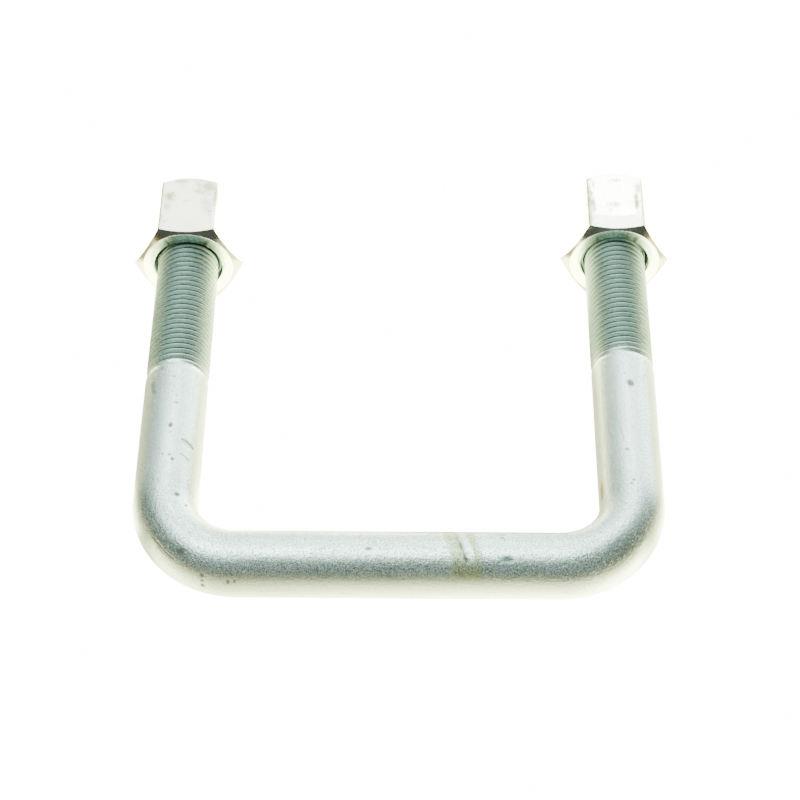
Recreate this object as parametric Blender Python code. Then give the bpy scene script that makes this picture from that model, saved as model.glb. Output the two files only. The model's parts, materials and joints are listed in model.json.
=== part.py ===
"""Square-bend U-bolt, M14 x 1.5, with two tall hexagon nuts.

The bolt lies as it rests on a table: the crossbar runs along X at the front, the legs run
back along +Y, and they rise slightly because the nuts are taller than the rod.  Everything
is modelled in the bolt's own frame (crossbar axis on X, leg axes along +Y, U in the XY
plane) and placed by one empty that holds the resting tilt.  Units are metres.
"""

import math

import bmesh
import bpy
from mathutils import Vector

MM = 0.001

# Rod and bend
ROD_RADIUS = 7.0 * MM
LEG_SPACING = 99.2 * MM            # between the leg axes, so 85.2 mm clear inside
BEND_RADIUS = 16.0 * MM            # at the rod's axis
LEG_LENGTH = 110.0 * MM            # from the crossbar's axis to the leg's end face

# Rolled thread, right-handed on both legs
PITCH = 1.5 * MM
CREST_RADIUS = 6.98 * MM
ROOT_RADIUS = 6.08 * MM
NECK_RADIUS = 6.5 * MM             # the blank that the thread is rolled on
END_RADIUS = 5.9 * MM              # end face, inside the thread's root
SHOULDER_AT = {"left": 49.7 * MM, "right": 54.2 * MM}
SHOULDER_LENGTH = 1.6 * MM         # cone from the rod down to the blank
RUN_OUT_GAP = 0.4 * MM             # plain cone before the thread's first trace
FULL_THREAD_AT = {"left": 53.4 * MM, "right": 56.6 * MM}

# Tall hexagon nuts
NUT_ACROSS_FLATS = 22.0 * MM
NUT_HEIGHT = 19.0 * MM
NUT_BORE_RADIUS = 7.1 * MM         # runs clear of the thread's crests
BEARING_RADIUS = 10.4 * MM
CROWN_RADIUS = 10.2 * MM
BEARING_CHAMFER = math.radians(30)
CROWN_CHAMFER = math.radians(42)
COUNTERSINK_RADIUS = 8.0 * MM
NUT_FACE_AT = {"left": 87.1 * MM, "right": 89.3 * MM}

# Facets
SEGMENTS = 24                      # round the rod
NUT_SEGMENTS = 48
BEND_STEPS = 9
STRIPS_PER_PITCH = 2               # one crest line and one root line in each pitch

SIDES = {"left": -1, "right": 1}


def clear_scene():
    """Remove every object, so that the script can be run again."""
    for item in list(bpy.data.objects):
        bpy.data.objects.remove(item, do_unlink=True)


def zinc_material(name, color, roughness):
    """Bright zinc-plated steel."""
    material = bpy.data.materials.new(name)
    material.use_nodes = True
    shader = material.node_tree.nodes["Principled BSDF"]
    shader.inputs["Base Color"].default_value = (*color, 1.0)
    shader.inputs["Metallic"].default_value = 1.0
    shader.inputs["Roughness"].default_value = roughness
    return material


def resting_tilt():
    """Angle at which the crossbar and the nearer nut's lower flat touch one plane."""
    apothem = NUT_ACROSS_FLATS / 2
    chamfer_depth = (apothem - BEARING_RADIUS) * math.tan(BEARING_CHAMFER)
    reach = min(NUT_FACE_AT.values()) + chamfer_depth
    return math.atan2(apothem, reach) - math.asin(ROD_RADIUS / math.hypot(reach, apothem))


def angle_of(index):
    """Angle of a vertex round the rod, from the top."""
    return math.tau * index / SEGMENTS


def leg_point(side, along, radius, index):
    """Point on a leg's surface; the angle runs mirrored on the right leg."""
    angle = angle_of(index)
    across = SIDES[side] * (LEG_SPACING / 2 - radius * math.sin(angle))
    return Vector((across, along, radius * math.cos(angle)))


def bend_point(side, turn, index):
    """Point on a bend's surface; turn goes from 0 at the leg to a right angle."""
    angle = angle_of(index)
    reach = BEND_RADIUS - ROD_RADIUS * math.sin(angle)
    across = LEG_SPACING / 2 - BEND_RADIUS + reach * math.cos(turn)
    along = BEND_RADIUS - reach * math.sin(turn)
    return Vector((SIDES[side] * across, along, ROD_RADIUS * math.cos(angle)))


def smooth_step(value):
    """Ease from 0 to 1."""
    value = min(max(value, 0.0), 1.0)
    return value * value * (3 - 2 * value)


def thread_start(side):
    """Where a leg's thread begins to show, on the shoulder's cone."""
    return SHOULDER_AT[side] + RUN_OUT_GAP


def blank_radius(side, along):
    """Radius of the leg before its thread is rolled: the rod, the shoulder's cone, the blank."""
    share = min((along - SHOULDER_AT[side]) / SHOULDER_LENGTH, 1.0)
    return ROD_RADIUS + (NECK_RADIUS - ROD_RADIUS) * share


def thread_radius(side, row, along):
    """Radius of a thread row, grown from the blank at its start and cut by the end chamfer."""
    full = CREST_RADIUS if row % STRIPS_PER_PITCH == 0 else ROOT_RADIUS
    start = thread_start(side)
    blank = blank_radius(side, along)
    share = smooth_step((along - start) / (FULL_THREAD_AT[side] - start))
    return min(blank + (full - blank) * share, END_RADIUS + LEG_LENGTH - along)


def thread_faces(mesh, side):
    """Helical strips from the shoulder to the end face, in rows that climb one pitch a turn.

    A row's last point is the first point of the row one pitch further on.  Rows are held
    between the thread's two ends, where they meet in plain rings once doubles are merged.
    """
    start = thread_start(side)
    climb = -SIDES[side]
    strip = PITCH / STRIPS_PER_PITCH
    rows = math.ceil((LEG_LENGTH - start) / strip) + STRIPS_PER_PITCH
    rows_held = range(-STRIPS_PER_PITCH, rows + 1)

    def vertex_at(row, index):
        height = start + strip * row + climb * PITCH * index / SEGMENTS
        along = min(max(height, start), LEG_LENGTH)
        radius = thread_radius(side, row, along)
        return mesh.verts.new(leg_point(side, along, radius, index))

    # The last column repeats the first one, one pitch on; merging doubles closes the seam.
    grid = {row: [vertex_at(row, i) for i in range(SEGMENTS + 1)] for row in rows_held}
    for row in rows_held[:-1]:
        for i in range(SEGMENTS):
            corners = (grid[row][i], grid[row][i + 1], grid[row + 1][i + 1], grid[row + 1][i])
            mesh.faces.new(corners)


def plain_rings(mesh):
    """Rings from one thread, round the U, to the other thread, and the two end faces."""
    rings = []
    for side in SIDES:
        start = thread_start(side)
        leg = [(start, blank_radius(side, start)), (SHOULDER_AT[side], ROD_RADIUS)]
        half = [[leg_point(side, s, r, i) for i in range(SEGMENTS)] for s, r in leg]
        for step in range(BEND_STEPS + 1):
            turn = math.pi / 2 * step / BEND_STEPS
            half.append([bend_point(side, turn, i) for i in range(SEGMENTS)])
        rings += half if side == "left" else half[::-1]
    made = [[mesh.verts.new(point) for point in ring] for ring in rings]
    for near, far in zip(made, made[1:]):
        for i in range(SEGMENTS):
            k = (i + 1) % SEGMENTS
            mesh.faces.new((near[i], near[k], far[k], far[i]))
    for side in SIDES:
        end = [leg_point(side, LEG_LENGTH, END_RADIUS, i) for i in range(SEGMENTS)]
        mesh.faces.new([mesh.verts.new(point) for point in end])


def finish_mesh(mesh, name, material):
    """Merge doubles, face everything outwards and make the object."""
    bmesh.ops.remove_doubles(mesh, verts=mesh.verts, dist=0.002 * MM)
    bmesh.ops.dissolve_degenerate(mesh, edges=mesh.edges, dist=0.002 * MM)
    bmesh.ops.recalc_face_normals(mesh, faces=mesh.faces)
    data = bpy.data.meshes.new(name)
    mesh.to_mesh(data)
    mesh.free()
    data.shade_smooth()
    data.set_sharp_from_angle(angle=math.radians(35))
    data.materials.append(material)
    item = bpy.data.objects.new(name, data)
    bpy.context.scene.collection.objects.link(item)
    return item


def make_rod():
    """The bent rod with a rolled thread on each leg."""
    mesh = bmesh.new()
    plain_rings(mesh)
    for side in SIDES:
        thread_faces(mesh, side)
    return finish_mesh(mesh, "u_bolt", zinc_material("zinc_rod", (0.72, 0.76, 0.74), 0.32))


def hexagon_radius(angle):
    """Distance from the nut's axis to its hexagon, with a flat at angle 0."""
    sector = (angle + math.pi / 6) % (math.pi / 3) - math.pi / 6
    return NUT_ACROSS_FLATS / 2 / math.cos(sector)


def nut_profile(angle):
    """The nut's closed section at one angle, as (radius, distance from the bearing face)."""
    side = hexagon_radius(angle)
    near = (side - BEARING_RADIUS) * math.tan(BEARING_CHAMFER)
    far = (side - CROWN_RADIUS) * math.tan(CROWN_CHAMFER)
    sink = COUNTERSINK_RADIUS - NUT_BORE_RADIUS
    return (
        (NUT_BORE_RADIUS, sink),
        (COUNTERSINK_RADIUS, 0.0),
        (BEARING_RADIUS, 0.0),
        (side, near),
        (side, NUT_HEIGHT - far),
        (CROWN_RADIUS, NUT_HEIGHT),
        (COUNTERSINK_RADIUS, NUT_HEIGHT),
        (NUT_BORE_RADIUS, NUT_HEIGHT - sink),
    )


def make_nut(side, material):
    """A tall nut with its origin on the leg's axis, at its bearing face."""
    mesh = bmesh.new()
    sections = []
    for i in range(NUT_SEGMENTS):
        angle = math.tau * i / NUT_SEGMENTS
        ray = Vector((math.sin(angle), 0, math.cos(angle)))
        profile = nut_profile(angle)
        sections.append([mesh.verts.new(r * ray + Vector((0, s, 0))) for r, s in profile])
    for i, section in enumerate(sections):
        after = sections[(i + 1) % NUT_SEGMENTS]
        for j, vertex in enumerate(section):
            k = (j + 1) % len(section)
            mesh.faces.new((vertex, section[k], after[k], after[j]))
    nut = finish_mesh(mesh, "nut_" + side, material)
    nut.location = (SIDES[side] * LEG_SPACING / 2, NUT_FACE_AT[side], 0)
    return nut


def lay_on_table(pieces):
    """Tilt the pieces as they rest and put the origin at the middle of their lower side."""
    rest = bpy.data.objects.new("resting_frame", None)
    bpy.context.scene.collection.objects.link(rest)
    rest.rotation_euler.x = resting_tilt()
    for piece in pieces:
        piece.parent = rest
    bpy.context.view_layer.update()
    corners = [piece.matrix_world @ v.co for piece in pieces for v in piece.data.vertices]
    low = [min(corner[axis] for corner in corners) for axis in range(3)]
    high = [max(corner[axis] for corner in corners) for axis in range(3)]
    rest.location = (-(low[0] + high[0]) / 2, -(low[1] + high[1]) / 2, -low[2])


def main():
    clear_scene()
    nut_zinc = zinc_material("zinc_nut", (0.80, 0.82, 0.80), 0.22)
    nuts = [make_nut(side, nut_zinc) for side in SIDES]
    lay_on_table([make_rod()] + nuts)


main()
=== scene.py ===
import json
import math

import bmesh
import bpy
import numpy as np
from mathutils import Matrix, Vector


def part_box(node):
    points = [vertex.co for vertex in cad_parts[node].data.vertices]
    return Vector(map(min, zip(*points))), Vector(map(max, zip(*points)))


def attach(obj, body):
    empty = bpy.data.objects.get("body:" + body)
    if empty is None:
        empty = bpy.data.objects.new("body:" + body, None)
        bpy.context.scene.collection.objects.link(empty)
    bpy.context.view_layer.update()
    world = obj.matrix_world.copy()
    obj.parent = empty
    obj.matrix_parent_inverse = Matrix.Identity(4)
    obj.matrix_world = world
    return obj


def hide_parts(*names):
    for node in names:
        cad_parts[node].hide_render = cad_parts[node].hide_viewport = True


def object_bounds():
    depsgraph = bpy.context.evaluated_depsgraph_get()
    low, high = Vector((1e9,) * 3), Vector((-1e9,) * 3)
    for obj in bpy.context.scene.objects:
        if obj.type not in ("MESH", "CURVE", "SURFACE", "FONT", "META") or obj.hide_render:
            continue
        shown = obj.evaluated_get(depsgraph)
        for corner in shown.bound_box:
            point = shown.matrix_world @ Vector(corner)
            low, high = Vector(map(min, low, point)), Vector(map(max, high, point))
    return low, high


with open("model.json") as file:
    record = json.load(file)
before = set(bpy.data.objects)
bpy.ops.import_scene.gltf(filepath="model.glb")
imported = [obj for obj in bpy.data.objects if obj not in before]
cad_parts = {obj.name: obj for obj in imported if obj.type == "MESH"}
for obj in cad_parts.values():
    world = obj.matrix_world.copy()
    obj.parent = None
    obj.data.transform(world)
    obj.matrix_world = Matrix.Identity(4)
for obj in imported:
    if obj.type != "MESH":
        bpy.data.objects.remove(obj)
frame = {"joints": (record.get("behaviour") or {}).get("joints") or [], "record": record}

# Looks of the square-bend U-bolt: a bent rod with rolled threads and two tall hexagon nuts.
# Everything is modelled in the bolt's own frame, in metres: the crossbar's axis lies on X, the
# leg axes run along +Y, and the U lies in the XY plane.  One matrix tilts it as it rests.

CAD_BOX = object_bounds()

MM = 0.001

# Rod and bend
ROD_RADIUS = 7.0 * MM
BEND_RADIUS = 16.0 * MM
LEG_LENGTH = 110.0 * MM
END_EDGE = 0.12 * MM               # rounding between the end chamfer and the end face
ROD_SEGMENTS = 96
RING_STEP = 0.5 * MM               # between rings on the plain part
WRINKLE_DEPTH = 0.035 * MM         # inside the bends
FLATTENING = 0.16 * MM             # outside the bends
WAVE_DEPTH = 0.018 * MM            # long waves left by drawing
RIPPLE_DEPTH = 0.008 * MM

# Rolled thread: each row is (share of the pitch after a crest, share of the thread's depth)
PITCH = 1.5 * MM
CREST_RADIUS = 6.98 * MM
ROOT_RADIUS = 6.08 * MM
NECK_RADIUS = 6.5 * MM
END_RADIUS = 5.9 * MM
THREAD_FORM = (
    (0.00, 0.0), (0.12, 0.08), (0.34, 0.58), (0.45, 0.95), (0.55, 0.95), (0.66, 0.58), (0.88, 0.08),
)
SHOULDER_AT = {"left": 49.7 * MM, "right": 54.2 * MM}
SHOULDER_LENGTH = 1.6 * MM         # cone from the rod down to the blank
RUN_OUT_GAP = 0.4 * MM             # plain cone before the thread's first trace
EDGE_WIDTH = 0.35 * MM             # crisp edge between the plain part and the shoulder
EDGE_DROP = 0.05 * MM
FULL_THREAD_AT = {"left": 53.4 * MM, "right": 56.6 * MM}

# Tall nuts
ACROSS_FLATS = 22.0 * MM
NUT_HEIGHT = 19.0 * MM
CORNER_RADIUS = 0.45 * MM
BEARING_RADIUS = 10.4 * MM
CROWN_RADIUS = 10.2 * MM
BEARING_CHAMFER = math.radians(30)
CROWN_CHAMFER = math.radians(42)
COUNTERSINK_RADIUS = 8.0 * MM
NUT_MAJOR_RADIUS = 7.06 * MM
NUT_MINOR_RADIUS = 6.19 * MM
NUT_THREAD_FORM = ((0.08, 0.0), (0.42, 1.0), (0.58, 1.0), (0.92, 0.0))
# Edge radii from the bearing face to the crown: chamfer, flat, lean, crown chamfer, crown
NUT_FILLETS = (0.30 * MM, 0.22 * MM, 3.0 * MM, 0.30 * MM, 0.35 * MM)
NUT_SECTOR = (0.0, 8.0, 16.0, 22.0, 26.0, 27.8, 28.6, 29.1, 29.6, 30.0)   # degrees from a flat
ROLLED_EDGE = {"left": 1.4 * MM, "right": 4.0 * MM}    # length that leans in at the bearing end
ROLLED_DEPTH = {"left": 0.02 * MM, "right": 0.16 * MM}

SIDES = {"left": -1, "right": 1}
WELD = 0.002 * MM                  # points closer than this are one point
ROD_SHARP = math.radians(50)
NUT_SHARP = math.radians(60)

# Marks on the rod's plain part.  Travel runs along the rod from the crossbar's middle, to the
# right, in mm.  The angle runs round the rod from the top, towards the inside of the U.
# A dent is (travel, angle, half length along, half width round, depth), lengths in mm.
DENTS = (
    (-55.5, 24, 0.55, 0.50, 0.16),
    (-51.8, 36, 0.40, 0.38, 0.10),
    (-75.0, 3, 0.60, 0.45, 0.14),
    (-65.5, 12, 0.38, 0.34, 0.08),
    (-66.6, 6, 0.30, 0.26, 0.06),
    (-66.8, -6, 0.26, 0.22, 0.05),
    (-81.5, 9, 0.26, 0.40, 0.05),
    (-83.5, 10, 0.22, 0.22, 0.04),
    (-89.0, 2, 0.24, 0.22, 0.04),
    (-73.0, 5, 0.24, 0.22, 0.04),
    (-38.5, -66, 0.30, 0.42, 0.10),
    (-38.4, -76, 0.26, 0.30, 0.07),
    (-38.3, -87, 0.30, 0.42, 0.08),
    (-34.5, -70, 0.20, 0.42, 0.07),
    (-33.5, -69, 0.20, 0.36, 0.06),
    (-43.0, -39, 0.80, 0.60, 0.09),
    (22.6, -27, 1.00, 0.46, 0.15),
    (21.5, 28, 0.85, 0.20, 0.07),
    (21.6, 18, 0.35, 0.30, 0.04),
    (-6.0, -9, 0.60, 0.34, 0.06),
    (88.0, -7, 0.80, 0.66, 0.16),
    (91.5, -38, 0.24, 0.22, 0.05),
    (90.4, -34, 0.22, 0.24, 0.05),
    (69.0, 8, 0.36, 0.34, 0.05),
    (60.5, 0, 0.30, 0.26, 0.06),
    (59.5, 4, 0.34, 0.26, 0.06),
    (91.0, 2, 0.26, 0.24, 0.04),
)
# A scratch is (travel, angle, travel, angle, half width in mm, strength)
SCRATCHES = (
    (-71.4, 27, -70.3, 50, 0.20, 1.0),
    (-71.8, 31, -71.0, 46, 0.12, 0.7),
    (-70.7, 25, -70.1, 36, 0.10, 0.5),
    (-67.4, 26, -66.3, 43, 0.14, 0.8),
    (-48.5, -50, -43.6, -57, 0.14, 0.9),
    (-46.8, -56, -44.0, -60, 0.10, 0.6),
    (12.0, 16, 12.9, 2, 0.20, 0.5),
    (12.8, 2, 14.2, -31, 0.16, 1.0),
    (30.0, 39, 34.5, 39, 0.10, 0.5),
    (-88.4, -42, -85.2, -36, 0.32, 0.7),
    (-93.0, -30, -91.8, -24, 0.30, 0.6),
    (72.0, 12, 76.0, 20, 0.08, 0.3),
    (-60.0, 45, -57.0, 62, 0.10, 0.3),
)

BEND_SHADE_SHARE = {"left": 0.40, "right": 0.72}             # strength of the painted shade on the upper outside of each bend
SCUFFED_ENDS = {"left": 0.07, "right": 0.04}           # extra wear next to the threads
RUST_PLACE = (60.6, 68)                                # travel and angle
RUST_SIZE = (3.2, 1.0, 1.0)                            # half sizes in mm

# Stains on each nut's upper flat: (across, along from the bearing face, half width, half length,
# strength), lengths in mm
STAINS = {
    "left": (
        (-4.5, 11.8, 1.3, 1.6, 1.0), (-4.9, 9.0, 0.8, 1.2, 0.5), (4.6, 15.0, 2.6, 2.2, 0.8),
        (6.3, 13.0, 0.7, 4.5, 0.9), (-2.0, 17.2, 1.6, 0.8, 0.7), (4.4, 9.8, 1.3, 2.6, 0.4),
        (-6.1, 4.5, 0.5, 1.6, 0.6), (5.0, 7.0, 0.5, 0.5, 0.9), (-6.2, 14.0, 0.4, 4.0, 0.5),
    ),
    "right": (
        (-6.1, 9.0, 0.7, 7.5, 0.9), (-5.2, 8.5, 0.5, 2.2, 1.0), (4.9, 9.0, 0.5, 2.6, 1.0),
        (6.2, 8.0, 0.4, 6.5, 0.5), (5.4, 13.5, 0.6, 1.6, 0.6), (-0.2, 8.0, 1.1, 0.7, 0.45),
        (0.4, 16.2, 1.2, 0.5, 0.4), (-5.0, 14.5, 0.4, 1.2, 0.4),
    ),
}


def leg_frame():
    """World matrix of the bolt's own frame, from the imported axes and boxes."""
    axis = Vector(frame["joints"][0]["axis"]).normalized()
    tilt = math.atan2(axis.z, axis.y)
    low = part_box("u_bolt")[0]
    front = low.y + ROD_RADIUS * math.cos(tilt)
    return Matrix.Translation((0.0, front, low.z + ROD_RADIUS)) @ Matrix.Rotation(tilt, 4, "X")


def mount_point(name):
    """A mount's point in the bolt's own frame."""
    mounts = {mount["name"]: mount for mount in frame["record"]["mounts"]}
    return LEG_FRAME.inverted() @ Vector(mounts[name]["pos_m"])


LEG_FRAME = leg_frame()
NUT_FACE_AT = {side: mount_point(f"nut_{side}_bearing_face").y for side in SIDES}
LEG_SPACING = mount_point("nut_right_bearing_face").x - mount_point("nut_left_bearing_face").x
HALF_BAR = LEG_SPACING / 2 - BEND_RADIUS
BEND_RUN = BEND_RADIUS * math.pi / 2


# ---------------------------------------------------------------- mesh helpers

def smooth_step(value):
    """Ease from 0 to 1, for arrays."""
    value = np.clip(value, 0.0, 1.0)
    return value * value * (3 - 2 * value)


def grid_faces(rows, columns, first=0):
    """Quads of a grid of points, stored row after row."""
    row, column = np.meshgrid(np.arange(rows - 1), np.arange(columns - 1), indexing="ij")
    corner = (first + row * columns + column).ravel()
    return np.stack((corner, corner + 1, corner + columns + 1, corner + columns), axis=1)


def mesh_object(name, grids, straight, matrix, sharp_angle):
    """One closed object from grids of points that meet where they touch.

    straight holds, for each grid, where its points lie on the rod laid out straight; the
    materials read it as an attribute.
    """
    points, places, faces, first = [], [], [], 0
    for grid, place in zip(grids, straight):
        rows, columns = grid.shape[:2]
        faces.append(grid_faces(rows, columns, first))
        points.append(grid.reshape(-1, 3))
        places.append(place.reshape(-1, 3))
        first += rows * columns
    data = bpy.data.meshes.new(name)
    data.from_pydata(np.concatenate(points).tolist(), [], np.concatenate(faces).tolist())
    attribute = data.attributes.new("straight", "FLOAT_VECTOR", "POINT")
    attribute.data.foreach_set("vector", np.concatenate(places).astype(np.float32).ravel())
    mesh = bmesh.new()
    mesh.from_mesh(data)
    bmesh.ops.remove_doubles(mesh, verts=mesh.verts, dist=WELD)
    bmesh.ops.dissolve_degenerate(mesh, edges=mesh.edges, dist=WELD)
    bmesh.ops.recalc_face_normals(mesh, faces=mesh.faces)
    mesh.to_mesh(data)
    mesh.free()
    data.shade_smooth()
    data.set_sharp_from_angle(angle=sharp_angle)
    item = bpy.data.objects.new(name, data)
    bpy.context.scene.collection.objects.link(item)
    item.matrix_world = matrix
    return item


# ---------------------------------------------------------------- rod

def centre_line(travel):
    """Points on the rod's axis and the directions to the outside of the U, for an array."""
    side = np.where(travel < 0, -1.0, 1.0)
    run = np.abs(travel)
    turn = np.clip((run - HALF_BAR) / BEND_RADIUS, 0.0, math.pi / 2)
    across = np.minimum(run, HALF_BAR) + BEND_RADIUS * np.sin(turn)
    along = BEND_RADIUS * (1 - np.cos(turn)) + np.maximum(run - HALF_BAR - BEND_RUN, 0.0)
    zero = np.zeros_like(travel)
    centre = np.stack((side * across, along, zero), axis=-1)
    outward = np.stack((side * np.sin(turn), -np.cos(turn), zero), axis=-1)
    return centre, outward


def rod_grid(travel, angle, radius):
    """Points on the rod's surface, and the same points on the rod laid out straight."""
    centre, outward = centre_line(travel)
    inward_part = radius * np.sin(angle)
    upward_part = radius * np.cos(angle)
    upward = np.array((0.0, 0.0, 1.0))
    points = centre - inward_part[..., None] * outward + upward_part[..., None] * upward
    return points, np.stack((travel, inward_part, upward_part), axis=-1)


def travel_of(side, along):
    """Distance along the rod from the crossbar's middle, for a place on a leg."""
    return SIDES[side] * (HALF_BAR + BEND_RUN + along - BEND_RADIUS)


def thread_start(side):
    """Where a leg's thread begins to show, on the shoulder's cone."""
    return SHOULDER_AT[side] + RUN_OUT_GAP


def blank_radius(side, along):
    """Radius of the leg before its thread is rolled."""
    share = np.clip((along - SHOULDER_AT[side]) / SHOULDER_LENGTH, 0.0, 1.0)
    return ROD_RADIUS + (NECK_RADIUS - ROD_RADIUS) * share


def thread_rows(side):
    """The helical thread of one leg, as a grid whose last column is its first, one pitch on."""
    start = thread_start(side)
    end = LEG_LENGTH - END_EDGE
    turns = np.arange(-1, math.ceil((end - start) / PITCH) + 2)
    phase = np.array([row[0] for row in THREAD_FORM])
    depth = np.array([row[1] for row in THREAD_FORM])
    height = start + PITCH * (turns[:, None] + phase).ravel()
    full = CREST_RADIUS - (CREST_RADIUS - ROOT_RADIUS) * np.tile(depth, len(turns))
    angle = np.linspace(0.0, math.tau, ROD_SEGMENTS + 1)
    climb = -SIDES[side] * PITCH * angle / math.tau
    along = np.clip(height[:, None] + climb, start, end)
    blank = blank_radius(side, along)
    share = smooth_step((along - start) / (FULL_THREAD_AT[side] - start))
    radius = np.minimum(blank + (full[:, None] - blank) * share, END_RADIUS + LEG_LENGTH - along)
    return rod_grid(travel_of(side, along), np.broadcast_to(angle, along.shape), radius)


def dent_depth(travel, angle):
    """How far the marks sink into the rod's surface."""
    depth = np.zeros_like(travel)
    for at, turn, half_length, half_width, deep in DENTS:
        round_gap = (angle - math.radians(turn) + math.pi) % math.tau - math.pi
        length = (travel - at * MM) / (half_length * MM)
        width = round_gap * ROD_RADIUS / (half_width * MM)
        depth += deep * MM * np.exp(-(length ** 2 + width ** 2))
    return depth


def bend_marks(travel, angle):
    """Faint wrinkles inside each bend and a slightly flattened outside, from cold bending.

    The wavelengths are uneven on purpose, so that no pattern repeats.
    """
    middle = HALF_BAR + BEND_RUN / 2
    near = np.exp(-(((np.abs(travel) - middle) / (BEND_RUN * 0.42)) ** 2))
    inside = np.clip(np.sin(angle), 0.0, 1.0) ** 3
    outside = np.clip(-np.sin(angle), 0.0, 1.0) ** 4
    wrinkles = WRINKLE_DEPTH * np.sin(travel / (1.15 * MM)) * np.sin(travel / (2.9 * MM) + 0.6)
    return near * (inside * wrinkles - outside * FLATTENING)


def drawn_unevenness(travel, angle):
    """Long shallow waves left by drawing and handling."""
    waves = np.sin(travel / (7.3 * MM) + 2.0 * np.sin(angle + 0.7))
    ripples = np.sin(travel / (2.7 * MM) + 3.0 * np.cos(angle - 0.4)) * np.sin(travel / (11 * MM))
    return -(WAVE_DEPTH * (1 + waves) + RIPPLE_DEPTH * (1 + ripples))


def plain_rows():
    """The unthreaded part, from one thread, round the U, to the other thread."""
    ends = {side: travel_of(side, thread_start(side)) for side in SIDES}
    shoulders = {side: travel_of(side, SHOULDER_AT[side]) for side in SIDES}
    low = shoulders["left"] + EDGE_WIDTH
    high = shoulders["right"] - EDGE_WIDTH
    rings = np.linspace(low, high, round((high - low) / RING_STEP) + 1)
    first = [ends["left"], shoulders["left"]]
    last = [shoulders["right"], ends["right"]]
    travel = np.concatenate((first, rings, last))
    angle = np.linspace(0.0, math.tau, ROD_SEGMENTS + 1)
    travel_grid, angle_grid = np.meshgrid(travel, angle, indexing="ij")
    radius = np.full_like(travel_grid, ROD_RADIUS)
    inside = slice(2, -2)
    for marks in (bend_marks, drawn_unevenness):
        radius[inside] += marks(travel_grid[inside], angle_grid[inside])
    radius[inside] -= dent_depth(travel_grid[inside], angle_grid[inside])
    radius[1] = ROD_RADIUS - EDGE_DROP
    radius[-2] = ROD_RADIUS - EDGE_DROP
    radius[0] = blank_radius("left", thread_start("left"))
    radius[-1] = blank_radius("right", thread_start("right"))
    return rod_grid(travel_grid, angle_grid, radius)


def end_rows(side):
    """A leg's end face, slightly dished, as rings down to a tiny middle."""
    rings = (
        (LEG_LENGTH - END_EDGE, END_RADIUS + END_EDGE),
        (LEG_LENGTH - 0.3 * END_EDGE, END_RADIUS + 0.1 * END_EDGE),
        (LEG_LENGTH, END_RADIUS - END_EDGE),
        (LEG_LENGTH - 0.02 * MM, 0.6 * END_RADIUS),
        (LEG_LENGTH - 0.05 * MM, 0.3 * END_RADIUS),
        (LEG_LENGTH - 0.06 * MM, 0.0),
    )
    angle = np.linspace(0.0, math.tau, ROD_SEGMENTS + 1)
    along, radius = (np.array(column)[:, None] for column in zip(*rings))
    along, radius, angle = np.broadcast_arrays(along, radius, angle)
    return rod_grid(travel_of(side, along), angle, radius)


def make_rod():
    """The bent rod with both threads, as one closed piece."""
    parts = [plain_rows()]
    for side in SIDES:
        parts.append(thread_rows(side))
        parts.append(end_rows(side))
    grids, straight = zip(*parts)
    rod = mesh_object("bolt_rod", grids, straight, LEG_FRAME, ROD_SHARP)
    rod.data.materials.append(rod_material())
    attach(rod, "bolt")
    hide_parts("u_bolt")
    return rod


# ---------------------------------------------------------------- nuts

def nut_angles():
    """Angles round a nut, closer together near its corners."""
    half = [math.radians(value) for value in NUT_SECTOR]
    sector = [-value for value in half[:0:-1]] + half[:-1]
    angles = [math.pi / 3 * k + value for k in range(6) for value in sector]
    start = angles[0]
    return np.array(angles + [start + math.tau])


def hexagon_radius(angle):
    """Distance from the axis to the hexagon with rounded corners, for an array."""
    sector = (angle + math.pi / 6) % (math.pi / 3) - math.pi / 6
    flat = ACROSS_FLATS / 2 / np.cos(sector)
    corner = (ACROSS_FLATS / 2 - CORNER_RADIUS) / math.cos(math.pi / 6)
    away = math.pi / 6 - np.abs(sector)
    inside = np.maximum(CORNER_RADIUS ** 2 - (corner * np.sin(away)) ** 2, 0.0)
    arc = corner * np.cos(away) + np.sqrt(inside)
    tangent = CORNER_RADIUS * math.sin(math.pi / 6)
    reach = math.atan2(tangent, ACROSS_FLATS / 2 / math.cos(math.pi / 6))
    return np.where(away < reach, arc, flat)


def fillet(points, radii, steps=4):
    """Replace each inner corner of a polyline with an arc of the given radius."""
    result = [points[0]]
    for before, corner, after, radius in zip(points, points[1:], points[2:], radii):
        to_before = (before - corner).normalized()
        to_after = (after - corner).normalized()
        half_angle = to_before.angle(to_after) / 2
        reach = radius / math.tan(half_angle)
        middle = corner + (to_before + to_after).normalized() * (radius / math.sin(half_angle))
        start = corner + to_before * reach - middle
        end = corner + to_after * reach - middle
        whole = start.angle(end)
        for step in range(steps + 1):
            share = step / steps
            part = math.sin((1 - share) * whole) * start + math.sin(share * whole) * end
            result.append(middle + part / math.sin(whole))
    result.append(points[-1])
    return result


def nut_section(side, outer):
    """Outside of a nut at one angle, from countersink to countersink: (radius, distance)."""
    near = (outer - BEARING_RADIUS) * math.tan(BEARING_CHAMFER)
    far = (outer - CROWN_RADIUS) * math.tan(CROWN_CHAMFER)
    lean = ROLLED_EDGE[side]
    corners = [
        Vector((COUNTERSINK_RADIUS, 0.0)),
        Vector((BEARING_RADIUS, 0.0)),
        Vector((outer - ROLLED_DEPTH[side], near)),
        Vector((outer, near + lean)),
        Vector((outer, NUT_HEIGHT - far)),
        Vector((CROWN_RADIUS, NUT_HEIGHT)),
        Vector((COUNTERSINK_RADIUS, NUT_HEIGHT)),
    ]
    return fillet(corners, NUT_FILLETS)


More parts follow.
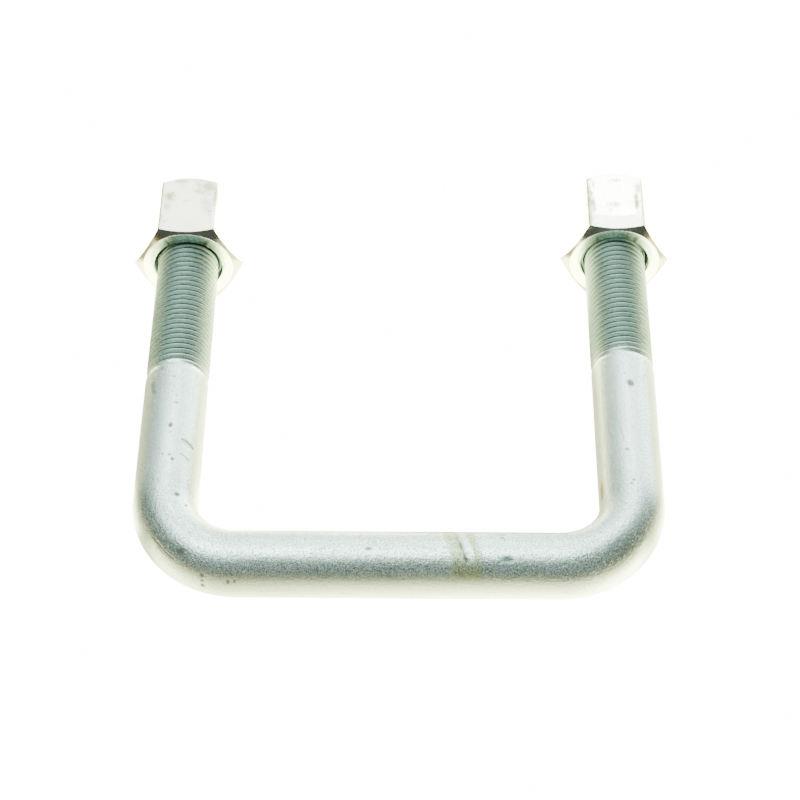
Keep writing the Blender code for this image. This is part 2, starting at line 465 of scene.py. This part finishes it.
def nut_bore(side, angles):
    """The tapped hole and both countersinks, with the thread in step with the rod's."""
    phase = np.array([row[0] for row in NUT_THREAD_FORM])
    depth = np.array([row[1] for row in NUT_THREAD_FORM])
    first = (thread_start(side) - NUT_FACE_AT[side]) % PITCH
    turns = np.arange(-3, math.ceil(NUT_HEIGHT / PITCH) + 3)
    height = first + PITCH * (turns[:, None] + phase).ravel()
    cut = NUT_MAJOR_RADIUS - (NUT_MAJOR_RADIUS - NUT_MINOR_RADIUS) * np.tile(depth, len(turns))
    climb = -SIDES[side] * PITCH * angles / math.tau
    along = np.clip(height[:, None] + climb, 0.0, NUT_HEIGHT)
    near = COUNTERSINK_RADIUS - along
    far = COUNTERSINK_RADIUS - (NUT_HEIGHT - along)
    return along, np.maximum(cut[:, None], np.maximum(near, far))


def nut_grid(side, angles, along, radius):
    """Points of a nut in its own frame; the angle runs mirrored on the right leg, as the rod's."""
    across = -SIDES[side] * radius * np.sin(angles)
    return np.stack((across, along, radius * np.cos(angles)), axis=-1)


def make_nut(side, material):
    """A tall nut, its origin on the leg's axis at its bearing face."""
    angles = nut_angles()
    sections = [nut_section(side, outer) for outer in hexagon_radius(angles)]
    radius = np.array([[point.x for point in section] for section in sections]).T
    along = np.array([[point.y for point in section] for section in sections]).T
    outside = nut_grid(side, angles, along, radius)
    bore_along, bore_radius = nut_bore(side, angles)
    bore = nut_grid(side, angles, bore_along, bore_radius)
    place = (SIDES[side] * LEG_SPACING / 2, NUT_FACE_AT[side], 0.0)
    matrix = LEG_FRAME @ Matrix.Translation(place)
    grids = [outside, bore]
    nut = mesh_object("tall_nut_" + side, grids, grids, matrix, NUT_SHARP)
    nut.data.materials.append(material)
    weighted = nut.modifiers.new("even_flats", "WEIGHTED_NORMAL")
    weighted.keep_sharp = True
    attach(nut, side + "_nut")
    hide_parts("nut_" + side)
    return nut


# ---------------------------------------------------------------- material helpers

class Shading:
    """Adds nodes to one material or world; an input is a socket, a number or a tuple."""

    def __init__(self, owner):
        owner.use_nodes = True
        self.tree = owner.node_tree
        self.tree.nodes.clear()

    def put(self, socket, value):
        if isinstance(value, bpy.types.NodeSocket):
            self.tree.links.new(value, socket)
        elif isinstance(value, tuple) and socket.type == "RGBA":
            socket.default_value = (*value, 1.0)
        else:
            socket.default_value = value

    def node(self, kind, **settings):
        made = self.tree.nodes.new("ShaderNode" + kind)
        for name, value in settings.items():
            setattr(made, name, value)
        return made

    def math(self, operation, first, second=0.0):
        made = self.node("Math", operation=operation)
        self.put(made.inputs[0], first)
        self.put(made.inputs[1], second)
        return made.outputs[0]

    def add(self, first, second):
        return self.math("ADD", first, second)

    def subtract(self, first, second):
        return self.math("SUBTRACT", first, second)

    def times(self, first, second):
        return self.math("MULTIPLY", first, second)

    def vector(self, operation, first, second=(0.0, 0.0, 0.0), scale=1.0):
        made = self.node("VectorMath", operation=operation)
        self.put(made.inputs[0], first)
        if operation == "SCALE":
            self.put(made.inputs[3], scale)
        else:
            self.put(made.inputs[1], second)
        return made.outputs[1 if operation in ("LENGTH", "DISTANCE", "DOT_PRODUCT") else 0]

    def in_mm(self, place):
        return self.vector("SCALE", place, scale=1 / MM)

    def split(self, place):
        """The X, Y and Z of a vector."""
        made = self.node("SeparateXYZ")
        self.put(made.inputs[0], place)
        return tuple(made.outputs)

    def ramp(self, value, low, high, start=0.0, end=1.0):
        """Smooth change from start to end while value goes from low to high."""
        made = self.node("MapRange", interpolation_type="SMOOTHSTEP")
        for name, item in (("Value", value), ("From Min", low), ("From Max", high)):
            self.put(made.inputs[name], item)
        self.put(made.inputs["To Min"], start)
        self.put(made.inputs["To Max"], end)
        return made.outputs["Result"]

    def within(self, value, low, high, edge):
        """1 between low and high, 0 outside, with soft edges."""
        rising = self.ramp(value, low - edge / 2, low + edge / 2)
        falling = self.ramp(value, high + edge / 2, high - edge / 2)
        return self.times(rising, falling)

    def noise(self, place, scale, detail=2.0, roughness=0.6):
        made = self.node("TexNoise")
        self.put(made.inputs["Vector"], place)
        self.put(made.inputs["Scale"], scale)
        self.put(made.inputs["Detail"], detail)
        self.put(made.inputs["Roughness"], roughness)
        return made.outputs[0]

    def mix(self, factor, first, second, blend="MIX"):
        """Mix of two colours."""
        made = self.node("Mix", data_type="RGBA", blend_type=blend)
        self.put(made.inputs[0], factor)
        self.put(made.inputs[6], first)
        self.put(made.inputs[7], second)
        return made.outputs[2]

    def blend(self, factor, first, second):
        """Mix of two numbers."""
        made = self.node("Mix")
        self.put(made.inputs[0], factor)
        self.put(made.inputs[2], first)
        self.put(made.inputs[3], second)
        return made.outputs[0]

    def most(self, values):
        """The largest of several values."""
        total = values[0]
        for value in values[1:]:
            total = self.math("MAXIMUM", total, value)
        return total

    def metal(self, color, roughness, height, distance):
        """A metal shader with relief, joined to the output."""
        shader = self.node("BsdfPrincipled")
        self.put(shader.inputs["Metallic"], 1.0)
        self.put(shader.inputs["Base Color"], color)
        self.put(shader.inputs["Roughness"], roughness)
        bump = self.node("Bump")
        self.put(bump.inputs["Height"], height)
        self.put(bump.inputs["Strength"], 1.0)
        self.put(bump.inputs["Distance"], distance)
        self.put(shader.inputs["Normal"], bump.outputs["Normal"])
        output = self.node("OutputMaterial")
        self.put(output.inputs["Surface"], shader.outputs[0])

    def glow(self, kind, output, color, strength):
        """Light that reflections see as given, and that the camera sees as plain white."""
        reflected = self.node(kind)
        self.put(reflected.inputs["Color"], color)
        self.put(reflected.inputs["Strength"], strength)
        seen = self.node(kind)
        self.put(seen.inputs["Color"], CAMERA_TINT)
        self.put(seen.inputs["Strength"], WHITE)
        choice = self.node("MixShader")
        self.put(choice.inputs[0], self.node("LightPath").outputs["Is Camera Ray"])
        self.put(choice.inputs[1], reflected.outputs[0])
        self.put(choice.inputs[2], seen.outputs[0])
        self.put(self.node(output).inputs["Surface"], choice.outputs[0])


# ---------------------------------------------------------------- rod material

# Lengths in the masks are in mm.  "inward" runs from -7 outside the U to 7 inside it, and
# "upward" from -7 at the bottom to 7 at the top.

ZINC_COOL = (0.80, 0.845, 0.825)
ZINC_PALE = (0.86, 0.885, 0.865)
ZINC_YELLOWED = (0.84, 0.83, 0.76)
DARK_GRAIN = (0.30, 0.34, 0.32)
PALE_GRAIN = (0.97, 0.98, 0.97)
STREAK = (0.58, 0.62, 0.58)
# painted shade: darkens the reflected dark band on each bend's upper outside
BEND_SHADE = (0.36, 0.38, 0.36)
THREAD_FLANK = (0.62, 0.76, 0.70)
# painted shade on the thread crests, dimming their highlight
THREAD_CREST_SHADE = (0.27, 0.34, 0.31)
# painted shade in the roots of the thread
THREAD_GROOVE_SHADE = (0.045, 0.065, 0.06)
RESIDUE = (0.72, 0.68, 0.48)
SPECK = (0.34, 0.36, 0.35)
RUST = (0.50, 0.26, 0.13)
SCRATCH = (0.10, 0.11, 0.10)
DENT = (0.13, 0.14, 0.14)
ROD_RELIEF = 0.05 * MM

RESIDUE_AT = 14.3                  # travel of the middle of the residue strip
RESIDUE_SLANT = 0.24
RESIDUE_GAP_SLANT = 0.30


def rod_place(travel, angle):
    """Where a mark sits on the rod laid out straight, in mm."""
    turn = math.radians(angle)
    radius = ROD_RADIUS / MM
    return Vector((travel, radius * math.sin(turn), radius * math.cos(turn)))


def dent_mask(shade, place, wobble):
    """1 inside the dents, 0 outside, with uneven edges."""
    masks = []
    uneven = shade.times(shade.subtract(wobble, 0.5), 2.4)
    for travel, angle, half_length, half_width, depth in DENTS:
        offset = shade.vector("SUBTRACT", place, tuple(rod_place(travel, angle)))
        share = shade.vector("DIVIDE", offset, (half_length, half_width, half_width))
        strength = min(1.0, depth / 0.10 + 0.25)
        distance = shade.add(shade.vector("LENGTH", share), uneven)
        masks.append(shade.ramp(distance, 1.65, 0.7, 0.0, strength))
    return shade.most(masks)


def scratch_mask(shade, place):
    """1 along the scratches, 0 elsewhere."""
    masks = []
    for travel, angle, end_travel, end_angle, half_width, strength in SCRATCHES:
        start = rod_place(travel, angle)
        line = rod_place(end_travel, end_angle) - start
        offset = shade.vector("SUBTRACT", place, tuple(start))
        share = shade.vector("DOT_PRODUCT", offset, tuple(line / line.length_squared))
        held = shade.math("MINIMUM", shade.math("MAXIMUM", share, 0.0), 1.0)
        nearest = shade.vector("SCALE", tuple(line), scale=held)
        gap = shade.vector("DISTANCE", offset, nearest)
        masks.append(shade.ramp(gap, half_width * 2.4, half_width, 0.0, strength))
    return shade.most(masks)


def leg_masks(shade, travel, reach):
    """The larger of both legs' masks; reach(side) gives a mask's start, end and level."""
    masks = []
    for side, sign in SIDES.items():
        outwards = shade.times(travel, float(sign))
        shoulder = abs(travel_of(side, SHOULDER_AT[side])) / MM
        start, end, level = reach(side)
        masks.append(shade.ramp(outwards, shoulder + start, shoulder + end, 0.0, level))
    return shade.most(masks)


def thread_mask(shade, travel):
    """1 on the threads, 0 on the plain part, changing over the shoulders."""
    return leg_masks(shade, travel, lambda side: (0.4, 5.5, 1.0))


def scuffed_share(shade, travel):
    """Extra wear next to the shoulders of the threads."""
    return leg_masks(shade, travel, lambda side: (-16.0, -3.0, SCUFFED_ENDS[side]))


def grain_mask(shade, travel, inward, upward):
    """How strongly the rolled grain shows: most on top of the crossbar, less on the legs."""
    bend_end = (HALF_BAR + BEND_RUN) / MM
    bar = shade.ramp(shade.math("ABSOLUTE", travel), bend_end + 8.0, bend_end - 6.0, 0.30, 1.0)
    top = shade.ramp(upward, -1.0, 2.0, 0.4, 1.0)
    inner = shade.ramp(inward, 5.2, 1.6, 0.35, 1.0)
    outer = shade.ramp(inward, -6.5, -5.0, 0.35, 1.0)
    return shade.times(shade.times(bar, top), shade.times(inner, outer))


def bend_shade_mask(shade, travel, inward, upward):
    """Painted shade on the upper outside of each bend, deepening the dark band that it reflects."""
    masks = []
    for side, sign in SIDES.items():
        outwards = shade.times(travel, float(sign))
        rising = shade.ramp(outwards, 38.0, 45.0)
        falling = shade.ramp(outwards, 64.0, 55.0, 0.0, BEND_SHADE_SHARE[side])
        masks.append(shade.times(rising, falling))
    band = shade.times(shade.ramp(inward, -0.8, -2.8), shade.ramp(upward, 1.0, 3.2))
    return shade.times(shade.most(masks), band)


def residue_mask(shade, travel, inward, wobble):
    """A strip of tape residue round the crossbar, slanting inside, with a clean gap on top."""
    offset = shade.subtract(travel, RESIDUE_AT)
    slant = shade.times(shade.math("MAXIMUM", shade.add(inward, 3.5), 0.0), RESIDUE_SLANT)
    edge = shade.add(shade.math("ABSOLUTE", shade.add(offset, slant)), shade.times(wobble, 1.2))
    strip = shade.times(shade.ramp(edge, 4.4, 3.1), shade.ramp(inward, -6.8, -5.6))
    gap_offset = shade.add(offset, shade.times(inward, RESIDUE_GAP_SLANT))
    gap = shade.ramp(shade.math("ABSOLUTE", gap_offset), 0.45, 0.95)
    in_front = shade.subtract(1.0, shade.ramp(inward, -4.2, -3.0))
    return shade.times(strip, shade.math("MAXIMUM", gap, in_front))


def rust_mask(shade, place, wobble):
    """A small rust spot inside the right bend."""
    offset = shade.vector("SUBTRACT", place, tuple(rod_place(*RUST_PLACE)))
    share = shade.vector("DIVIDE", offset, RUST_SIZE)
    edge = shade.add(shade.vector("LENGTH", share), shade.times(wobble, 0.8))
    return shade.ramp(edge, 1.5, 0.9)


def rod_material():
    """Zinc plate over a drawn rod: fine grain, lines along it, dark pits, scratches and stains, with
    painted shade on the bends and in the threads.
    """
    material = bpy.data.materials.new("zinc_plated_rod")
    shade = Shading(material)
    place = shade.in_mm(shade.node("Attribute", attribute_name="straight").outputs["Vector"])
    travel, inward, upward = shade.split(place)
    grain = shade.noise(place, 1.9, detail=1.0)
    fine = shade.noise(place, 4.0, detail=1.0)
    lines_place = shade.vector("MULTIPLY", place, (0.035, 1.0, 1.0))
    lines = shade.noise(lines_place, 3.4, detail=3.0, roughness=0.65)
    cloud = shade.noise(place, 0.16, detail=3.0, roughness=0.55)
    blotch = shade.noise(place, 0.55, detail=4.0)

    pits = shade.ramp(shade.noise(place, 1.6), 0.655, 0.73, 0.0, 0.8)
    pepper = shade.add(shade.noise(place, 2.8), scuffed_share(shade, travel))
    specks = shade.most([pits, shade.ramp(pepper, 0.58, 0.68, 0.0, 0.55)])
    threaded = thread_mask(shade, travel)
    plain = shade.subtract(1.0, threaded)
    rolled = grain_mask(shade, travel, inward, upward)
    bend_shade = bend_shade_mask(shade, travel, inward, upward)
    radius = shade.vector("LENGTH", shade.vector("MULTIPLY", place, (0.0, 1.0, 1.0)))
    groove_shade = shade.times(threaded, shade.ramp(radius, 6.62, 6.30))
    crest_shade = shade.times(threaded, shade.ramp(radius, 6.78, 6.96))
    dents = dent_mask(shade, place, fine)
    broken = shade.ramp(fine, 0.62, 0.44, 0.65, 1.0)
    scratches = shade.times(scratch_mask(shade, place), broken)
    residue = residue_mask(shade, travel, inward, blotch)
    rust = rust_mask(shade, place, blotch)

    color = shade.mix(shade.ramp(cloud, 0.35, 0.65), ZINC_COOL, ZINC_PALE)
    color = shade.mix(shade.ramp(blotch, 0.50, 0.75, 0.0, 0.35), color, ZINC_YELLOWED)
    color = shade.mix(shade.times(shade.ramp(fine, 0.48, 0.62), rolled), color, DARK_GRAIN)
    color = shade.mix(shade.times(shade.ramp(lines, 0.50, 0.68, 0.0, 0.40), plain), color, STREAK)
    color = shade.mix(shade.times(shade.ramp(fine, 0.50, 0.36), rolled), color, PALE_GRAIN)
    # painted shade on the upper outside of each bend
    color = shade.mix(bend_shade, color, BEND_SHADE)
    color = shade.mix(threaded, color, THREAD_FLANK)
    # painted shade on the thread crests, dimming their highlight
    color = shade.mix(crest_shade, color, THREAD_CREST_SHADE)
    # painted shade in the roots of the thread
    color = shade.mix(groove_shade, color, THREAD_GROOVE_SHADE)
    color = shade.mix(residue, color, RESIDUE, "MULTIPLY")
    color = shade.mix(specks, color, SPECK)
    color = shade.mix(shade.times(rust, 0.8), color, RUST)
    color = shade.mix(shade.times(scratches, 0.92), color, SCRATCH)
    color = shade.mix(shade.times(dents, 0.9), color, DENT)

    rough = shade.ramp(cloud, 0.3, 0.7, 0.31, 0.37)
    rough = shade.add(rough, shade.ramp(lines, 0.3, 0.7, -0.03, 0.03))
    rough = shade.add(rough, shade.times(residue, 0.12))
    rough = shade.add(rough, shade.times(threaded, 0.10))
    rough = shade.add(rough, shade.times(shade.math("MAXIMUM", rust, dents), 0.25))

    height = shade.times(grain, shade.add(plain, 0.2))
    height = shade.add(height, shade.times(fine, 0.45))
    height = shade.add(height, shade.times(lines, 0.35))
    height = shade.subtract(height, shade.times(specks, 0.8))
    height = shade.subtract(height, shade.times(scratches, 0.9))
    height = shade.add(height, shade.times(residue, 0.4))
    shade.metal(color, rough, height, ROD_RELIEF)
    return material


# ---------------------------------------------------------------- nut material

NUT_ZINC = (0.93, 0.92, 0.80)
NUT_ZINC_PALE = (0.95, 0.94, 0.84)
NUT_STAIN = (0.48, 0.38, 0.17)
NUT_SPECK = (0.42, 0.40, 0.35)
# painted reflection of the thread on the bearing face round the hole
NUT_PAINTED_REFLECTION = (0.47, 0.57, 0.52)
# painted shade on the bearing end's chamfer
NUT_CHAMFER_SHADE = (0.54, 0.45, 0.39)
# painted shade in the countersinks
NUT_SINK_SHADE = (0.16, 0.21, 0.19)
NUT_RELIEF = 0.018 * MM

REFLECTION_LIFT = 1.5                    # the painted reflection's middle lies above the hole's, in mm
REFLECTION_OUTSIDE = 9.0
REFLECTION_INSIDE = 8.3
PATTERN_SHIFT = {"left": 0.0, "right": 40.0}           # so that the nuts don't wear the same pattern


def stain_mask(shade, place, side, wobble):
    """1 in the stains on a nut's upper flat, 0 elsewhere, with ragged edges."""
    ragged = shade.times(shade.subtract(wobble, 0.5), 4.0)
    masks = []
    for across, along, half_across, half_along, strength in STAINS[side]:
        offset = shade.vector("SUBTRACT", place, (across, along, ACROSS_FLATS / 2 / MM))
        share = shade.vector("DIVIDE", offset, (half_across, half_along, 1.5))
        distance = shade.add(shade.vector("LENGTH", share), ragged)
        masks.append(shade.ramp(distance, 1.9, 0.0, 0.0, strength))
    return shade.most(masks)


def nut_end_masks(shade, place):
    """Painted shade on the bearing end's chamfer, a painted reflection round its hole, and painted
    shade in the countersink.
    """
    along = shade.split(place)[1]
    from_axis = shade.vector("MULTIPLY", place, (1.0, 0.0, 1.0))
    radius = shade.vector("LENGTH", from_axis)
    beyond = shade.subtract(radius, BEARING_RADIUS / MM)
    cone = shade.times(beyond, math.tan(BEARING_CHAMFER))
    behind = shade.subtract(along, cone)
    shaded_chamfer = shade.times(shade.ramp(behind, 0.20, 0.06), shade.ramp(beyond, -0.08, 0.10))
    lifted = shade.vector("LENGTH", shade.vector("SUBTRACT", from_axis, (0.0, 0.0, REFLECTION_LIFT)))
    front = shade.ramp(along, 0.10, 0.04)
    painted_reflection = shade.times(front, shade.ramp(lifted, REFLECTION_OUTSIDE, REFLECTION_INSIDE))
    sink_radius = COUNTERSINK_RADIUS / MM
    sink_shade = shade.ramp(radius, sink_radius + 0.12, sink_radius - 0.10)
    return shaded_chamfer, painted_reflection, sink_shade


def nut_material(side):
    """Zinc plate over a machined nut: smoother, with handling marks and yellowish stains, a painted
    reflection round the hole and painted shade on the chamfer and in the countersink.
    """
    material = bpy.data.materials.new("zinc_plated_nut_" + side)
    shade = Shading(material)
    nut_place = shade.in_mm(shade.node("TexCoord").outputs["Object"])
    place = shade.vector("ADD", nut_place, (PATTERN_SHIFT[side], 0.0, 0.0))
    cloud = shade.noise(place, 0.14, detail=3.0, roughness=0.55)
    blotch = shade.noise(place, 0.42, detail=5.0, roughness=0.62)
    grain = shade.noise(place, 3.2)
    stretched = shade.vector("MULTIPLY", place, (2.6, 0.12, 2.6))
    machining = shade.noise(stretched, 1.6, detail=3.0)
    clouded = shade.ramp(blotch, 0.58, 0.72, 0.0, 0.5)
    stains = shade.most([clouded, stain_mask(shade, nut_place, side, blotch)])
    specks = shade.ramp(shade.noise(place, 1.1), 0.74, 0.80)
    shaded_chamfer, painted_reflection, sink_shade = nut_end_masks(shade, nut_place)

    color = shade.mix(shade.ramp(cloud, 0.35, 0.65), NUT_ZINC, NUT_ZINC_PALE)
    color = shade.mix(shade.times(stains, 0.88), color, NUT_STAIN)
    color = shade.mix(shade.times(specks, 0.7), color, NUT_SPECK)
    # painted reflection round the hole, then painted shade on the chamfer and in the countersink
    color = shade.mix(painted_reflection, color, NUT_PAINTED_REFLECTION)
    color = shade.mix(shaded_chamfer, color, NUT_CHAMFER_SHADE)
    color = shade.mix(sink_shade, color, NUT_SINK_SHADE)

    rough = shade.ramp(cloud, 0.3, 0.7, 0.13, 0.18)
    rough = shade.subtract(rough, shade.times(shaded_chamfer, 0.07))
    rough = shade.add(rough, shade.times(painted_reflection, 0.10))
    rough = shade.add(rough, shade.times(stains, 0.30))
    rough = shade.add(rough, shade.ramp(machining, 0.35, 0.7, 0.0, 0.05))

    height = shade.add(shade.times(grain, 0.25), shade.times(machining, 0.5))
    height = shade.add(height, shade.times(blotch, 1.1))
    height = shade.subtract(height, shade.times(specks, 0.8))
    shade.metal(color, rough, height, NUT_RELIEF)
    return material


# ---------------------------------------------------------------- stage, light and camera

CAMERA_TARGET = Vector((0.016, 47.69, -1.92)) * MM     # in the bolt's own frame
CAMERA_DISTANCE = 524.0 * MM
CAMERA_PITCH = math.radians(45.69)                     # below the horizon
CAMERA_YAW = math.radians(-0.541)
LENS = 106.15
SENSOR = 36.0

WHITE = 16.0                                           # shows as pure white
CAMERA_TINT = (1.0, 1.0, 0.985)
SKY_TINT = (0.72, 1.0, 0.90)
GLOW_TINT = (0.97, 1.0, 0.94)
FLOOR_TINT = (0.92, 1.0, 0.53)

# Brightness of the floor in reflections: from the left, then (from x, to x, level), in mm
FLOOR_SIZE = 6.0
FLOOR_LEFT = 1.5
FLOOR_STEPS = (
    (-74, -62, 2.4), (-52, -48, 8.0), (-30, -24, 4.6), (-6, 6, 1.8), (32, 40, 2.2), (46, 54, 7.5),
    (68, 78, 4.4), (84, 92, 4.0),
)
# Brighter patches: (from x, to x, from, to behind the front edge, level), in mm
FLOOR_PATCHES = (
    (-76, -28, 20, 37, 14.0), (46, 82, 20, 37, 14.0),
    (-75, -25, 80, 97, 16.0), (25, 75, 80, 97, 16.0),
    (-94, -64, 108, 156, 45.0), (-26, 26, 122, 190, 45.0), (64, 94, 108, 156, 45.0),
)
PATCH_EDGE = 6.0
# The floor in front is brightest next to the bolt and fades towards the camera
FRONT_LEFT = 7.5
FRONT_RIGHT = 14.0
FRONT_FADE = 6.0                                       # mm to half the brightness

# The tent, with x to the right, y to the back and z up: walls behind, brighter to the right
WALL_LEFT = 1.35
WALL_RIGHT = 5.6
WALL_LOW_RIGHT = 12.0
WALL_FLARE = 0.32                                      # the walls start further back at the sides
# A box of light overhead: degrees from the front horizon, over the top, to the one behind
BOX_LEVEL = 11.5
BOX_FRONT = (70.0, 84.0)
BOX_BACK = (122.0, 104.0)
BOX_LEAN = 110.0                                       # its front edge turns back on the right
BOX_MIDDLE = -0.11
BOX_HALF_WIDTH = (0.44, 0.24)
# The opening towards the camera, from low to high
OPENING_LOW = 0.18
OPENING_HIGH = 0.35
# Small bright patches: direction, degrees to the outside, degrees to the full part, level
GLOWS = (
    ((-0.10, 0.69, 0.72), 9.0, 5.0, 5.4),
    ((0.08, 0.69, 0.72), 4.7, 3.3, 24.0),
)


def make_camera():
    """A long lens in front, looking down on the bolt."""
    data = bpy.data.cameras.new("camera")
    data.lens = LENS
    data.sensor_width = SENSOR
    data.clip_start = 0.01
    data.clip_end = 50.0
    camera = bpy.data.objects.new("camera", data)
    flat = math.cos(CAMERA_PITCH)
    side, ahead = math.sin(CAMERA_YAW), math.cos(CAMERA_YAW)
    forward = Vector((side * flat, ahead * flat, -math.sin(CAMERA_PITCH)))
    camera.location = LEG_FRAME @ CAMERA_TARGET - forward * CAMERA_DISTANCE
    camera.rotation_mode = "QUATERNION"
    camera.rotation_quaternion = forward.to_track_quat("-Z", "Y")
    bpy.context.scene.collection.objects.link(camera)
    bpy.context.scene.camera = camera


def floor_material():
    """Plain white to the camera; reflections see soft steps of brightness."""
    material = bpy.data.materials.new("pale_floor")
    shade = Shading(material)
    x, y, _ = shade.split(shade.in_mm(shade.node("TexCoord").outputs["Object"]))
    behind = shade.subtract(y, CAD_BOX[0].y / MM)
    level = FLOOR_LEFT
    for low, high, new in FLOOR_STEPS:
        level = shade.blend(shade.ramp(x, low, high), level, new)
    for left, right, first, last, bright in FLOOR_PATCHES:
        across = shade.within(x, left, right, PATCH_EDGE)
        along = shade.within(behind, first, last, PATCH_EDGE)
        level = shade.blend(shade.times(across, along), level, bright)
    ahead = shade.math("MAXIMUM", shade.subtract(1.0, behind), 0.0)
    nearest = shade.ramp(x, -50, 50, FRONT_LEFT, FRONT_RIGHT)
    fading = shade.math("DIVIDE", nearest, shade.add(1.0, shade.math("DIVIDE", ahead, FRONT_FADE)))
    level = shade.blend(shade.ramp(behind, 12, 7), level, fading)
    shade.glow("Emission", "OutputMaterial", FLOOR_TINT, level)
    return material


def make_floor():
    """A plain pale floor under the bolt."""
    mesh = bmesh.new()
    bmesh.ops.create_grid(mesh, x_segments=1, y_segments=1, size=FLOOR_SIZE)
    data = bpy.data.meshes.new("floor")
    mesh.to_mesh(data)
    mesh.free()
    data.materials.append(floor_material())
    floor = bpy.data.objects.new("floor", data)
    floor.location = (0.0, 0.0, CAD_BOX[0].z)
    bpy.context.scene.collection.objects.link(floor)


def tent_walls(shade, x, y, z):
    """Brightness of the walls behind the bolt."""
    walls = shade.ramp(x, -0.75, 0.75, WALL_LEFT, WALL_RIGHT)
    low_right = shade.times(shade.ramp(x, 0.15, 0.45), shade.ramp(z, 0.60, 0.15))
    walls = shade.blend(low_right, walls, WALL_LOW_RIGHT)
    back = shade.subtract(y, shade.times(shade.math("ABSOLUTE", x), WALL_FLARE))
    return shade.times(walls, shade.ramp(back, 0.22, 0.52))


def overhead_box(shade, x, y, z):
    """Brightness of the box of light overhead."""
    turn = shade.math("ARCTAN2", z, shade.times(y, -1.0))
    angle = shade.times(turn, 180 / math.pi)
    leaning = shade.subtract(angle, shade.times(shade.math("MAXIMUM", x, 0.0), BOX_LEAN))
    along = shade.times(shade.ramp(leaning, *BOX_FRONT), shade.ramp(angle, *BOX_BACK))
    off_middle = shade.math("ABSOLUTE", shade.subtract(x, BOX_MIDDLE))
    across = shade.ramp(off_middle, *BOX_HALF_WIDTH)
    return shade.times(shade.times(along, across), BOX_LEVEL)


def make_light():
    """Soft light from a white tent that is open, and so dark, towards the camera."""
    world = bpy.data.worlds.new("tent")
    bpy.context.scene.world = world
    shade = Shading(world)
    direction = shade.node("TexCoord").outputs["Generated"]
    x, y, z = shade.split(direction)
    level = shade.math("MAXIMUM", tent_walls(shade, x, y, z), overhead_box(shade, x, y, z))
    tint = SKY_TINT
    for towards, wide, narrow, strong in GLOWS:
        aligned = shade.vector("DOT_PRODUCT", direction, tuple(Vector(towards).normalized()))
        edges = (math.cos(math.radians(wide)), math.cos(math.radians(narrow)))
        spot = shade.ramp(aligned, *edges)
        level = shade.blend(spot, level, strong)
        tint = shade.mix(spot, tint, GLOW_TINT)
    opening = shade.ramp(z, 0.10, 0.50, OPENING_LOW, OPENING_HIGH)
    level = shade.math("MAXIMUM", level, opening)
    shade.glow("Background", "OutputWorld", tint, level)


make_camera()
make_floor()
make_light()
make_rod()
for nut_side in SIDES:
    make_nut(nut_side, nut_material(nut_side))
